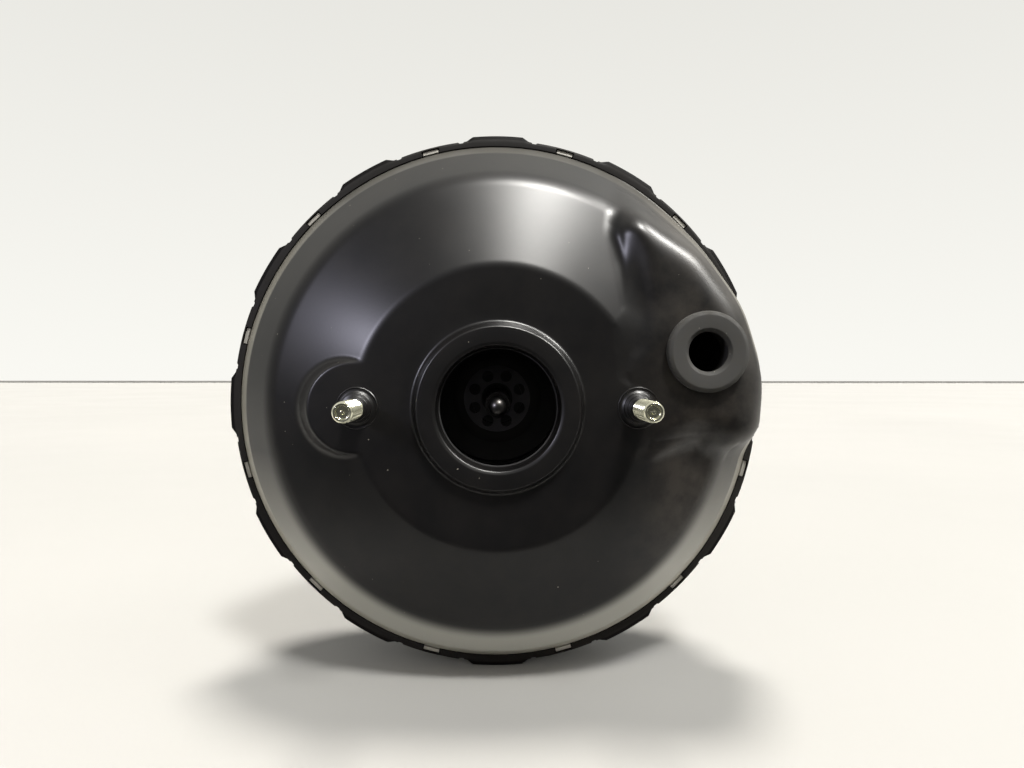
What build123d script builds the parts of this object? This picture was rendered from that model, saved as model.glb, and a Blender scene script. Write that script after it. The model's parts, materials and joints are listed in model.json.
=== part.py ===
from build123d import *
import os
from math import cos, radians, sin

# Vacuum brake booster, single diaphragm, all sizes in millimetres.
# The origin is on the booster's axis, on the flat front plateau of the front shell.
# -Y points to the master cylinder, +Y to the firewall and the pedal, +Z is up.
# A turned profile is written as (radius, depth) points, where depth is along +Y.

os.makedirs("parts", exist_ok=True)

# ---------------------------------------------------------------- driving dimensions
SHEET = 1.5                     # front shell
REAR_SHEET = 1.6                # rear shell
GAP = 0.06                      # radial running clearance of sliding fits

# front shell, outside surface
COLLAR_Y = -4.0                 # front of the raised pilot collar
COLLAR_R = 30.5
PILOT_R = 24.7                  # hole for the master cylinder's spigot
PILOT_END = 4.0                 # rear end of the turned-in pilot flange
PLATEAU_R = 57.2
FACE_R, FACE_Y = 92.5, 13.4     # shoulder, where the sloping face ends
RIM_R, RIM_Y = 112.6, 34.6      # rim, where the side band ends
FLANGE_R, FLANGE_Y = 116.2, 42.3

# master cylinder studs
STUD_X = 56.0                   # half of the 112 mm spacing
STUD_R = 4.0                    # M8
STUD_TIP = -28.7
BOSS_X, BOSS_R = 57.6, 18.2     # the round boss behind each stud sits a little outside of it
SHANK_R = 4.5                   # part of a stud inside the sheets

# vacuum port pad and its rubber grommet
PORT_X, PORT_Z = 83.0, 22.4
PORT_HOLE_R = 11.5
PAD_CORNERS = [(44, 12), (54, 29), (57, 81), (85, 63), (105.4, 16), (103.4, -21), (76, -9.5), (62, -13)]
PAD_BENDS = [9, 9, 40, 45, 6, 12]
PAD_DRAFT = 6.4                 # how far the pad's wall leans out down to its foot
PAD_FOOT = 34.0

# rear shell, outside surface, and its rim
RING_R, RING_FRONT, RING_BACK = 118.3, 40.5, 52.0
LUG_R, LUG_COUNT = 120.0, 12
BACK_R, BACK_Y = 88.0, 101.0
MOUNT_R, MOUNT_Y = 58.0, 112.0  # flat pad against the firewall
NECK_R, NECK_END = 30.0, 138.0
FIREWALL_STUD = 32.0            # half of the 64 mm square pattern
FIREWALL_TIP = 136.0

# power piston
TAIL_R, TAIL_END = 24.0, 168.0
HUB_R, HUB_FRONT = 21.0, 86.0
PLATE_Y = 93.0                  # front of the diaphragm plate
DISC_Y = 98.8                   # step that the reaction disc bears on
ROD_TIP = 5.5
SPRING_R, SPRING_WIRE = 34.0, 2.0

# input side
BALL_Y, BALL_R = 115.0, 5.0
INPUT_R = 5.0
INPUT_END = 206.0
PIN_Y, PIN_R = 232.0, 4.0       # hole for the pedal's clevis pin
CLEVIS_GAP = 5.0                # half of the fork's opening


# ---------------------------------------------------------------- helpers
def turn(*corners, mode=Mode.ADD):
    """Turn a closed (radius, depth) outline about the booster's axis."""
    with BuildSketch(Plane.XY) as section:
        with BuildLine():
            Polyline(*corners, close=True)
        make_face()
    revolve(section.sketch, axis=Axis.Y, mode=mode)


def press_sheet(corners, bends, sheet, side=Side.LEFT):
    """Turn a bent line of (radius, depth) corners, thickened to a pressed sheet or a skin."""
    with BuildSketch(Plane.XY) as section:
        with BuildLine():
            skin = FilletPolyline(*corners, radius=bends)
            offset(skin, amount=sheet, side=side)
        make_face()
    revolve(section.sketch, axis=Axis.Y)


def bar(radius, start, end, places=((0, 0),), mode=Mode.ADD):
    """Round bars along the booster's axis from one depth to another, at (x, z) places."""
    with BuildSketch(Plane.XZ.offset(-start)) as section:
        with Locations(*places):
            Circle(radius)
    extrude(section.sketch, amount=start - end, mode=mode)


def coil(mean_radius, wire, start, end, turns):
    """A round-wire compression spring on the booster's axis, between two depths."""
    travel = end - start - 2 * wire
    with BuildLine():
        path = Helix(travel / turns, travel, mean_radius, center=(0, start + wire, 0), direction=(0, 1, 0))
    with BuildSketch(Plane(origin=path @ 0, z_dir=path % 0)) as section:
        Circle(wire)
    sweep(section.sketch, path=path, is_frenet=True)


def save(part, name):
    part.label = name
    export_step(part, f"parts/{name}.step")


# ---------------------------------------------------------------- front shell
def dome(inset=0.0, mode=Mode.ADD):
    """The filled dome of the front shell with its rim flange, or its hollow when inset by the sheet."""
    corners = [(0, COLLAR_Y), (COLLAR_R, COLLAR_Y), (COLLAR_R + 4, 0), (PLATEAU_R, 0)]
    corners += [(FACE_R, FACE_Y), (RIM_R, RIM_Y), (RIM_R, FLANGE_Y)]
    rim = [] if inset else [(FLANGE_R, FLANGE_Y)]
    with BuildSketch(Plane.XY) as section:
        with BuildLine() as outline:
            skin = FilletPolyline(*corners, radius=[2.4, 2.4, 3, 10, 2.5])
            if inset:
                offset(skin, amount=inset, side=Side.LEFT, closed=False)
            centre = outline.vertices().sort_by(Axis.X)[0]
            foot = outline.vertices().sort_by(Axis.Y)[-1]
            edge_r = rim[0][0] if rim else foot.X
            back = FLANGE_Y + SHEET
            Polyline((foot.X, foot.Y), *rim, (edge_r, back), (0, back), (0, centre.Y))
        make_face()
    revolve(section.sketch, axis=Axis.Y, mode=mode)


def pad_outline(grow, depth):
    """The port pad's outline at one depth, grown or shrunk from the driving corners."""
    with BuildSketch(Plane.XZ.offset(-depth)) as outline:
        with BuildLine():
            FilletPolyline(*PAD_CORNERS, radius=PAD_BENDS)
            Line(PAD_CORNERS[-1], PAD_CORNERS[0])
        make_face()
        offset(amount=grow, kind=Kind.INTERSECTION)
    return outline.sketch.face()


def raised_forms(inset=0.0, mode=Mode.ADD):
    """The vacuum port pad with its softened edge, and the two round stud bosses."""
    pad = [pad_outline(-2.4 - inset, inset), pad_outline(-0.6 - inset, 0.7 + inset)]
    pad += [pad_outline(0.2 - inset, 2.6 + inset), pad_outline(PAD_DRAFT - inset, PAD_FOOT)]
    loft(pad, ruled=True, mode=mode)
    with BuildSketch(Plane.XZ.offset(-inset)) as bosses:
        with Locations((-BOSS_X, 0), (BOSS_X, 0)):
            Circle(BOSS_R - 0.4 * inset)
    extrude(bosses.sketch, amount=inset - 11, taper=-38, mode=mode)


STUD_PLACES = [(-STUD_X, 0), (STUD_X, 0)]

with BuildPart() as front_shell:
    dome()
    raised_forms()
    dome(SHEET, mode=Mode.SUBTRACT)
    raised_forms(SHEET, mode=Mode.SUBTRACT)
    # the pilot hole, its edge rolled over and turned in to a short flange
    bar(PILOT_R + SHEET, COLLAR_Y - 1, PILOT_END, mode=Mode.SUBTRACT)
    lip = [(COLLAR_R - 2, COLLAR_Y), (PILOT_R, COLLAR_Y), (PILOT_R, PILOT_END)]
    press_sheet(lip, [2.0], SHEET, Side.RIGHT)
    # a low embossed ring round each stud, and the holes for studs and grommet
    with BuildSketch(Plane.XZ) as rings:
        with Locations(*STUD_PLACES):
            Circle(8.4)
            Circle(6.6, mode=Mode.SUBTRACT)
    extrude(rings.sketch, amount=0.6)
    bar(SHANK_R, -1, SHEET + 1, STUD_PLACES, mode=Mode.SUBTRACT)
    bar(PORT_HOLE_R, -1, SHEET + 1, [(PORT_X, PORT_Z)], mode=Mode.SUBTRACT)
save(front_shell.part, "front_shell")

# ---------------------------------------------------------------- what the front shell carries
PLATE_BACK = SHEET + 2.0

with BuildPart() as front_reinforcement_plate:
    with BuildSketch(Plane.XZ.offset(-SHEET)) as outline:
        Circle(38)
        with Locations(*STUD_PLACES):
            Circle(12)
        make_hull()
        Circle(PILOT_R + SHEET + 0.1, mode=Mode.SUBTRACT)
        with Locations(*STUD_PLACES):
            Circle(SHANK_R, mode=Mode.SUBTRACT)
    extrude(outline.sketch, amount=SHEET - PLATE_BACK)
save(front_reinforcement_plate.part, "front_reinforcement_plate")

with BuildPart() as master_cylinder_studs:
    bar(STUD_R, STUD_TIP, COLLAR_Y, STUD_PLACES)
    chamfer(master_cylinder_studs.edges().group_by(Axis.Y)[0], 0.9)
    bar(6.0, COLLAR_Y, 0, STUD_PLACES)
    bar(SHANK_R, 0, PLATE_BACK, STUD_PLACES)
    bar(7.0, PLATE_BACK, PLATE_BACK + 3.5, STUD_PLACES)
save(master_cylinder_studs.part, "master_cylinder_studs")

with BuildPart() as spring_seat:
    turn(
        (23.6, 4), (37, 4), (37, PLATE_BACK), (38.2, PLATE_BACK),
        (38.2, 9), (37, 9), (37, 5.2), (23.6, 5.2),
    )
save(spring_seat.part, "spring_seat")

GROMMET_R, GROMMET_FRONT = 16.2, -4.8

with BuildPart() as vacuum_grommet:
    with BuildSketch(Plane.XY) as section:
        with BuildLine():
            FilletPolyline(
                (8, -3.4), (9.2, GROMMET_FRONT), (GROMMET_R, GROMMET_FRONT),
                (GROMMET_R, 0), (PORT_HOLE_R, 0),
                (PORT_HOLE_R, SHEET), (13, SHEET), (12.6, 5), (10.4, 12), (8, 12),
                radius=[0.5, 0.4, 1.6, 0.4, 0, 0, 0.8, 1, 0.4, 0.4], close=True,
            )
        make_face()
    revolve(section.sketch, axis=Axis.Y)
save(Pos(PORT_X, 0, PORT_Z) * vacuum_grommet.part, "vacuum_grommet")

# ---------------------------------------------------------------- rear shell
ROLLED_R = 113.8                # inner edge of the rim where it is rolled over the front shell
REAR_CORNERS = [(ROLLED_R, RING_FRONT), (RING_R, RING_FRONT), (RING_R, RING_BACK)]
REAR_CORNERS += [(109, RING_BACK), (105, 86)]
REAR_CORNERS += [(BACK_R, BACK_Y), (63, BACK_Y), (MOUNT_R, MOUNT_Y)]
REAR_CORNERS += [(NECK_R, MOUNT_Y), (NECK_R, NECK_END), (26, NECK_END)]
LUG_FRONT, LUG_BACK = 41.5, 50.0
SQUARE = (-FIREWALL_STUD, FIREWALL_STUD)
FIREWALL_PLACES = [(x, z) for x in SQUARE for z in SQUARE]

with BuildPart() as rear_shell:
    press_sheet(REAR_CORNERS, [2, 2.5, 3, 12, 9, 3, 3, 3, 2], REAR_SHEET)
    # twelve pressed lugs with bevelled ends, each hollow behind
    with BuildSketch(Plane.XZ.offset(-LUG_FRONT)) as lugs:
        with PolarLocations(0, LUG_COUNT):
            half = [(112, 15.4), (118.2, 15.4), (121, 12.8)]
            Polygon(*half, *[(r, -w) for r, w in reversed(half)], align=None)
        Circle(LUG_R, mode=Mode.INTERSECT)
        Circle(RING_R - REAR_SHEET, mode=Mode.SUBTRACT)
    extrude(lugs.sketch, amount=LUG_FRONT - LUG_BACK)
    with BuildSketch(Plane.XZ.offset(-RING_FRONT - REAR_SHEET)) as pockets:
        with PolarLocations(0, LUG_COUNT):
            Polygon((112, -12.5), (121, -10.8), (121, 10.8), (112, 12.5), align=None)
        Circle(LUG_R - REAR_SHEET, mode=Mode.INTERSECT)
        Circle(RING_R - REAR_SHEET - 0.5, mode=Mode.SUBTRACT)
    extrude(pockets.sketch, amount=RING_FRONT + REAR_SHEET - LUG_BACK + 1.2, mode=Mode.SUBTRACT)
    # between the lugs, windows in the rolled edge where it was pushed in to lock the shells
    with BuildSketch(Plane.XZ.offset(-RING_FRONT)) as windows:
        with PolarLocations(ROLLED_R + 1, LUG_COUNT, start_angle=180 / LUG_COUNT):
            Rectangle(4, 7.6)
    extrude(windows.sketch, amount=-REAR_SHEET, mode=Mode.SUBTRACT)
    bar(SHANK_R, MOUNT_Y - 3, MOUNT_Y + 1, FIREWALL_PLACES, mode=Mode.SUBTRACT)
save(rear_shell.part, "rear_shell")

MOUNT_INSIDE = MOUNT_Y - REAR_SHEET

with BuildPart() as rear_reinforcement_plate:
    bar(53, MOUNT_INSIDE - 2, MOUNT_INSIDE)
    bar(NECK_R + 2, MOUNT_INSIDE - 2, MOUNT_INSIDE, mode=Mode.SUBTRACT)
    bar(SHANK_R, MOUNT_INSIDE - 2, MOUNT_INSIDE, FIREWALL_PLACES, mode=Mode.SUBTRACT)
save(rear_reinforcement_plate.part, "rear_reinforcement_plate")

with BuildPart() as firewall_studs:
    bar(STUD_R, MOUNT_Y, FIREWALL_TIP, FIREWALL_PLACES)
    chamfer(firewall_studs.edges().group_by(Axis.Y)[-1], 0.9)
    bar(SHANK_R, MOUNT_INSIDE - 2, MOUNT_Y, FIREWALL_PLACES)
    bar(6.5, MOUNT_INSIDE - 5.5, MOUNT_INSIDE - 2, FIREWALL_PLACES)
save(firewall_studs.part, "firewall_studs")

# ---------------------------------------------------------------- neck of the rear shell
NECK_IN = NECK_R - REAR_SHEET
SEAL_FRONT, SEAL_BACK = 118.0, 126.0

with BuildPart() as seal_retainer:
    start = SEAL_FRONT - 1.6
    turn((26, start), (NECK_IN, start), (NECK_IN, SEAL_FRONT), (26, SEAL_FRONT))
save(seal_retainer.part, "seal_retainer")

with BuildPart() as neck_seal:
    turn(
        (TAIL_R + GAP, SEAL_FRONT + 2), (TAIL_R + 0.6, SEAL_FRONT), (NECK_IN, SEAL_FRONT),
        (NECK_IN, SEAL_BACK), (26.5, SEAL_BACK), (26.5, SEAL_FRONT + 5),
        (TAIL_R + 1.5, SEAL_FRONT + 3.5), (TAIL_R + GAP, SEAL_FRONT + 3),
    )
save(neck_seal.part, "neck_seal")

with BuildPart() as neck_bearing:
    turn(
        (TAIL_R + GAP, SEAL_BACK), (NECK_IN, SEAL_BACK),
        (NECK_IN, NECK_END - 2.2), (NECK_IN - 0.6, NECK_END - REAR_SHEET),
        (TAIL_R + GAP, NECK_END - REAR_SHEET),
    )
save(neck_bearing.part, "neck_bearing")

# ---------------------------------------------------------------- dust boot
FOLDS = 5
FOLD_PITCH = 8.2

with BuildPart() as dust_boot:
    turn((NECK_R, 115.2), (33, 115.2), (33, 120), (NECK_R, 120))
    folds = [(31.4, 119)]
    for fold in range(FOLDS):
        narrowing = 1.1 * fold
        folds += [(36.5 - narrowing, 123 + FOLD_PITCH * fold), (31.4 - narrowing, 127 + FOLD_PITCH * fold)]
    folds += [(25, 162)]
    press_sheet(folds, [1.0] * (len(folds) - 2), 1.4, Side.RIGHT)
    turn(
        (TAIL_R, 160.5), (26.4, 160.5), (26.4, 170),
        (9, 170), (9, TAIL_END), (TAIL_R, TAIL_END),
    )
save(dust_boot.part, "dust_boot")

# ---------------------------------------------------------------- power piston
PLUNGER_BORE = 7.5

with BuildPart() as valve_body:
    turn(
        (17, HUB_FRONT), (HUB_R, HUB_FRONT), (HUB_R, 90.5), (23, 90.5), (23, PLATE_Y), (HUB_R, PLATE_Y),
        (HUB_R, 98.5), (TAIL_R, 98.5), (TAIL_R, TAIL_END), (20.4, TAIL_END), (20.4, 140), (17.5, 140),
        (17.5, 121), (10.8, 121), (10.8, 116), (PLUNGER_BORE, 116), (PLUNGER_BORE, DISC_Y), (13, DISC_Y),
        (13, HUB_FRONT + 2), (17, HUB_FRONT + 2),
    )
    # vacuum passages from the poppet chamber forwards
    passages = [(16.2 * cos(radians(a)), 16.2 * sin(radians(a))) for a in (0, 180)]
    bar(2.4, HUB_FRONT + 2, 121, passages, mode=Mode.SUBTRACT)
    # slot for the stop key
    with BuildSketch(Plane.XZ.offset(-104.6)) as key_slot:
        with Locations((0, 8)):
            Rectangle(16.4, 33)
    extrude(key_slot.sketch, amount=-2.7, mode=Mode.SUBTRACT)
save(valve_body.part, "valve_body")

with BuildPart() as stop_key:
    with BuildSketch(Plane.XZ.offset(-104.7)) as outline:
        with Locations((0, 8)):
            Rectangle(16, 31)
        with Locations((0, -4)):
            Rectangle(9.4, 16, mode=Mode.SUBTRACT)
        with Locations((0, 4)):
            Circle(4.7, mode=Mode.SUBTRACT)
    extrude(outline.sketch, amount=-2.5)
save(stop_key.part, "stop_key")

with BuildPart() as rod_retainer:
    with BuildSketch(Plane.XZ.offset(-HUB_FRONT)) as face:
        Circle(17)
        Circle(8, mode=Mode.SUBTRACT)
        with PolarLocations(12.3, 8, start_angle=22.5):
            Circle(2.9, mode=Mode.SUBTRACT)
    extrude(face.sketch, amount=-2)
    turn((8, 88), (9.2, 88), (9.2, 89), (8, 89))
save(rod_retainer.part, "rod_retainer")

with BuildPart() as output_push_rod:
    turn(
        (4, 24), (5, 23), (5.6, 24), (5.6, 87.5), (7, 89), (12.8, 89),
        (12.8, 93), (0, 93), (0, 42), (4, 42),
    )
save(output_push_rod.part, "output_push_rod")

with BuildPart() as rod_tip_screw:
    bar(4, ROD_TIP, 42)
    fillet(rod_tip_screw.edges().group_by(Axis.Y)[0], 3.9)
save(rod_tip_screw.part, "rod_tip_screw")

with BuildPart() as reaction_disc:
    bar(12.8, 93, DISC_Y)
save(reaction_disc.part, "reaction_disc")

with BuildPart() as diaphragm_plate:
    press_sheet([(HUB_R, PLATE_Y), (84, PLATE_Y), (94, 83), (95.5, 72)], [6, 4], 1.5)
    with BuildSketch(Plane.XZ.offset(-PLATE_Y)) as ribs:
        with PolarLocations(58, 8):
            SlotOverall(30, 7)
    extrude(ribs.sketch, amount=1.6)
save(diaphragm_plate.part, "diaphragm_plate")

with BuildPart() as diaphragm:
    press_sheet([(112, 49), (105.8, 49), (102.2, 85), (88.5, 96.5), (24, 96.5)], [3, 9, 9], 2.0)
    turn((111, FLANGE_Y + SHEET + 0.1), (116, FLANGE_Y + SHEET + 0.1), (116, 50), (111, 50))
    turn((HUB_R, 94.5), (25.5, 94.5), (25.5, 98.5), (HUB_R, 98.5))
save(diaphragm.part, "diaphragm")

with BuildPart() as return_spring:
    coil(SPRING_R, SPRING_WIRE, 5.2, PLATE_Y - 1.6, 5)
save(return_spring.part, "return_spring")

# ---------------------------------------------------------------- control valve
with BuildPart() as air_valve_plunger:
    land = PLUNGER_BORE - GAP
    turn(
        (0, 101.2), (land, 101.2), (land, 104.4), (4.5, 104.4), (4.5, 110), (land, 110), (land, 118.8),
        (9.6, 120), (9.6, 121), (BALL_R + GAP, 121), (BALL_R + GAP, BALL_Y), (0, BALL_Y),
    )
    with BuildSketch(Plane.XY) as socket:
        with Locations((0, BALL_Y)):
            Circle(BALL_R + GAP)
        with Locations((-BALL_R, BALL_Y)):
            Rectangle(2 * BALL_R, 4 * BALL_R, mode=Mode.SUBTRACT)
    revolve(socket.sketch, axis=Axis.Y, mode=Mode.SUBTRACT)
save(air_valve_plunger.part, "air_valve_plunger")

with BuildPart() as poppet_valve:
    turn(
        (7.2, 121.3), (15.2, 121.3), (15.2, 133), (17.4, 133),
        (17.4, 137), (13.6, 137), (13.6, 123.6), (7.2, 123.6),
    )
save(poppet_valve.part, "poppet_valve")

with BuildPart() as poppet_retainer:
    turn(
        (12.4, 131), (13.6, 131), (13.6, 137), (17.4, 137),
        (17.4, 138.2), (8.6, 138.2), (8.6, 137), (12.4, 137),
    )
save(poppet_retainer.part, "poppet_retainer")

with BuildPart() as poppet_spring:
    coil(10.6, 0.7, 123.6, 137, 4)
save(poppet_spring.part, "poppet_spring")

with BuildPart() as input_rod_spring:
    coil(10.6, 1.0, 138.2, 150, 3)
save(input_rod_spring.part, "input_rod_spring")

with BuildPart() as air_filter:
    turn((7.9, 155), (20.4, 155), (20.4, 163), (7.9, 163))
save(air_filter.part, "air_filter")

with BuildPart() as silencer_felt:
    turn((7.9, 163), (20.4, 163), (20.4, 166.5), (7.9, 166.5))
save(silencer_felt.part, "silencer_felt")

with BuildPart() as filter_cap:
    turn((16, 166.5), (20.4, 166.5), (20.4, TAIL_END), (16, TAIL_END))
save(filter_cap.part, "filter_cap")

# ---------------------------------------------------------------- input rod and clevis
with BuildPart() as input_push_rod:
    turn(
        (0, BALL_Y), (3.8, BALL_Y), (3.8, 124), (INPUT_R, 125.2),
        (INPUT_R, INPUT_END - 1), (4, INPUT_END), (0, INPUT_END),
    )
    with BuildSketch(Plane.XY) as ball:
        with Locations((0, BALL_Y)):
            Circle(BALL_R)
        with Locations((-BALL_R, BALL_Y)):
            Rectangle(2 * BALL_R, 4 * BALL_R, mode=Mode.SUBTRACT)
    revolve(ball.sketch, axis=Axis.Y)
save(input_push_rod.part, "input_push_rod")

with BuildPart() as spring_washer:
    turn((INPUT_R, 150), (12.5, 150), (12.5, 151.5), (INPUT_R, 151.5))
save(spring_washer.part, "spring_washer")

with BuildPart() as lock_nut:
    with BuildSketch(Plane.XZ.offset(-190)) as hexagon:
        RegularPolygon(8.5, 6, major_radius=False)
        Circle(INPUT_R, mode=Mode.SUBTRACT)
    extrude(hexagon.sketch, amount=-7.5)
    chamfer(lock_nut.edges().filter_by(GeomType.LINE).filter_by(Axis.Y, reverse=True), 0.5)
save(lock_nut.part, "lock_nut")

with BuildPart() as clevis:
    with BuildSketch(Plane.YZ.offset(-9)) as side_view:
        with BuildLine():
            Polyline((PIN_Y, 9), (197.5, 8), (197.5, -8), (PIN_Y, -9))
            CenterArc((PIN_Y, 0), 9, -90, 180)
        make_face()
    extrude(side_view.sketch, amount=18)
    with BuildSketch(Plane.XY) as fork_gap:
        with Locations((0, 229)):
            Rectangle(2 * CLEVIS_GAP, 40)
    extrude(fork_gap.sketch, amount=12, both=True, mode=Mode.SUBTRACT)
    bar(INPUT_R, 197.5, 209, mode=Mode.SUBTRACT)
    with BuildSketch(Plane.YZ) as pin_hole:
        with Locations((PIN_Y, 0)):
            Circle(PIN_R)
    extrude(pin_hole.sketch, amount=12, both=True, mode=Mode.SUBTRACT)
save(clevis.part, "clevis")
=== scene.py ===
# %% [markdown]
# # A vacuum brake booster
# The booster is a can of two pressed steel shells with a rubber diaphragm between them. Vacuum in
# front of the diaphragm and air behind it help the driver's foot to push the master cylinder's rod.
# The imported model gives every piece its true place, and stays where it is.
# What the eye meets first gets a finer skin here: the front shell, rim, studs, grommet and rods.

# %% Load the fixed frame
import json
from math import cos, pi, radians, sin, tan
import bmesh
import bpy
import numpy as np
from mathutils import Matrix, Vector


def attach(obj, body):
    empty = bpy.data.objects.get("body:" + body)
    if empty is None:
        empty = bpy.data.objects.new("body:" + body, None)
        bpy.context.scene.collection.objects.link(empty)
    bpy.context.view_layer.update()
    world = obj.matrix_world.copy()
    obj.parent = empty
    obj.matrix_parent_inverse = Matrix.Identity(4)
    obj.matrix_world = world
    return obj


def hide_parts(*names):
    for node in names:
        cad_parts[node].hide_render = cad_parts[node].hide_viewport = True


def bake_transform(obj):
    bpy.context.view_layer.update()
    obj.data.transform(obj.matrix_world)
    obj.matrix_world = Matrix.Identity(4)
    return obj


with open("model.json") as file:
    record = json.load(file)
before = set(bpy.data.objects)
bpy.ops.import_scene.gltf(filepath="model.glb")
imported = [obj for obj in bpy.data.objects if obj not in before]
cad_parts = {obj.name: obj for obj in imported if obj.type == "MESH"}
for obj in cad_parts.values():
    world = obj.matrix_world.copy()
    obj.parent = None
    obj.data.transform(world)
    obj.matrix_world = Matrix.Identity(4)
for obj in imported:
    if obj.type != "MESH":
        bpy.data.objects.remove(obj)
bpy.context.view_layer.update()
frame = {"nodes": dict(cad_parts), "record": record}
nodes = frame["nodes"]
MM = 0.001  # lengths are written in millimetres and turned to metres where a mesh or node needs them

# %% [markdown]
# A pressed or turned edge is never perfectly sharp. So each section is drawn as a few corners, and
# one function rounds them with arcs. A bevel could do it later, but a rounded section gives every
# bend its own radius and costs nothing.

# %% Helpers for outlines
def rounded(corners, radii, step=12):
    """An outline of (radius, depth) corners with each inner corner turned to an arc."""
    points = [np.array(p, float) for p in corners]
    line = [points[0]]
    for before, corner, after, radius in zip(points, points[1:], points[2:], radii):
        a, b = before - corner, after - corner
        long_a, long_b = np.linalg.norm(a), np.linalg.norm(b)
        a, b = a / long_a, b / long_b
        angle = np.arccos(np.clip(a @ b, -1, 1))
        if radius == 0 or angle > 3.13:  # a sharp corner, or none because the line runs straight on
            line.append(corner)
            continue
        cut = min(radius / tan(angle / 2), 0.49 * long_a, 0.49 * long_b)
        middle = a + b
        centre = corner + middle / np.linalg.norm(middle) * cut / cos(angle / 2)
        first, last = corner + a * cut - centre, corner + b * cut - centre
        turn = pi - angle
        for t in np.linspace(0, 1, max(3, int(turn / radians(step)) + 2)):
            line.append(centre + (first * sin((1 - t) * turn) + last * sin(t * turn)) / sin(turn))
    line.append(points[-1])
    return np.array(line)


def closed(corners, radius, step=12):
    """The same for a closed outline, with one radius or one for each corner."""
    radii = radius if isinstance(radius, (list, tuple)) else [radius] * len(corners)
    middle = tuple((np.array(corners[0]) + np.array(corners[-1])) / 2)
    return rounded([middle, *corners, middle], radii, step)[:-1]


print("a 10 mm square with 2 mm corners has", len(closed([(0, 0), (10, 0), (10, 10), (0, 10)], 2)), "points")

# %% [markdown]
# Most of the object is round about the Y axis, so most pieces are a grid of points: one way along
# an outline, the other way round the axis. One function sweeps the grid and one turns it into a
# mesh. The Screw modifier could sweep too, but a grid can also be bent, threaded and notched.

# %% Helpers for grids
def new_object(name, data):
    """An object for this mesh, lamp or camera, put into the scene."""
    piece = bpy.data.objects.new(name, data)
    bpy.context.scene.collection.objects.link(piece)
    return piece


def skin(name, points, material, wrap=(True, True), sharp=40):
    """A mesh over a grid of points in millimetres, joined into a loop where wrap says so."""
    rows, columns = points.shape[:2]
    index = np.arange(rows * columns).reshape(rows, columns)
    if wrap[0]:
        index = np.vstack([index, index[:1]])
    if wrap[1]:
        index = np.hstack([index, index[:, :1]])
    quads = np.stack([index[:-1, :-1], index[1:, :-1], index[1:, 1:], index[:-1, 1:]], -1)
    mesh = bpy.data.meshes.new(name)
    mesh.from_pydata((points.reshape(-1, 3) * MM).tolist(), [], quads.reshape(-1, 4).tolist())
    mesh.validate()
    mesh.materials.append(material)
    mesh.shade_smooth()
    mesh.set_sharp_from_angle(angle=radians(sharp))
    return new_object(name, mesh)


def spin(outline, steps=180, place=(0, 0)):
    """The grid of points that an outline of (radius, depth) sweeps round an axis along Y."""
    turn = np.linspace(0, 2 * pi, steps, endpoint=False)[:, None]
    radius, depth = np.asarray(outline, float).T
    ring = np.zeros((steps, len(radius), 3))
    ring[..., 0] = place[0] + radius * np.cos(turn)
    ring[..., 1] = depth
    ring[..., 2] = place[1] + radius * np.sin(turn)
    return ring


print("a pipe with a four-sided wall is a grid of", spin([(9, 0), (10, 0), (10, 5), (9, 5)]).shape)

# %% [markdown]
# A finish is a small graph of nodes. Colours are written as they look on a screen and turned to
# linear light once. Patterns are placed by the object's own coordinates, which are metres in the
# shared frame, so a pattern's size is a real size and it stays on the piece when the piece moves.

# %% Helpers for nodes
def colour(code):
    """A screen colour such as #808080 as linear red, green, blue and alpha."""
    parts = [int(code[i:i + 2], 16) / 255 for i in (1, 3, 5)]
    return (*[c / 12.92 if c <= 0.04045 else ((c + 0.055) / 1.055) ** 2.4 for c in parts], 1.0)


def add(tree, kind, sockets=(), **settings):
    """One node: its settings, then its sockets, linked where the value is another node's output."""
    node = tree.nodes.new("ShaderNode" + kind)
    for name, value in settings.items():
        setattr(node, name, value)
    for key, value in dict(sockets).items():
        if isinstance(value, bpy.types.NodeSocket):
            tree.links.new(value, node.inputs[key])
        else:
            node.inputs[key].default_value = value
    return node


def per_mm(size):
    """The texture scale at which one pattern cell is this many millimetres."""
    return 1 / (size * MM)


print("white is", colour("#ffffff"), "and a 2 mm cell needs scale", per_mm(2))

# %% [markdown]
# No real surface has one colour and one gloss. Every finish here has two near colours and two near
# roughnesses in soft patches, where hands and oil have been, and a fine grain that shows in the
# light. Real grain is often finer than a pixel: it is drawn as coarse as it needs to show. Image
# textures could give this too, but a pattern worked out from a size has no seams and needs no file.

# %% A plain finish, and a way to lay something over it
def finish(name, codes, rough, grain, patch=30.0, metallic=0.0, ior=1.5, specular=0.5):
    """A surface of two near colours in soft patches, with a fine grain.
    rough is (smooth patches, rough patches); grain is (cell size, depth) and patch the patches' size,
    in millimetres."""
    material = bpy.data.materials.new(name)
    material.use_nodes = True
    tree = material.node_tree
    shader = tree.nodes["Principled BSDF"]
    place = add(tree, "TexCoord").outputs["Object"]
    patches = add(tree, "TexNoise", {"Vector": place, "Scale": per_mm(patch), "Detail": 4})
    share = patches.outputs["Fac"]
    tint = add(tree, "Mix", {0: share, 6: colour(codes[0]), 7: colour(codes[1])}, data_type="RGBA")
    gloss = add(tree, "MapRange", {0: share, 1: 0.3, 2: 0.7, 3: rough[0], 4: rough[1]})
    cells = add(tree, "TexNoise", {"Vector": place, "Scale": per_mm(grain[0]), "Detail": 2})
    bump = add(tree, "Bump", {"Height": cells.outputs["Fac"], "Distance": grain[1] * MM})
    for key, value in {"Base Color": tint.outputs[2], "Roughness": gloss.outputs[0],
                       "Normal": bump.outputs[0]}.items():
        tree.links.new(value, shader.inputs[key])
    shader.inputs["Metallic"].default_value = metallic
    shader.inputs["IOR"].default_value = ior
    shader.inputs["Specular IOR Level"].default_value = specular
    return material


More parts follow.
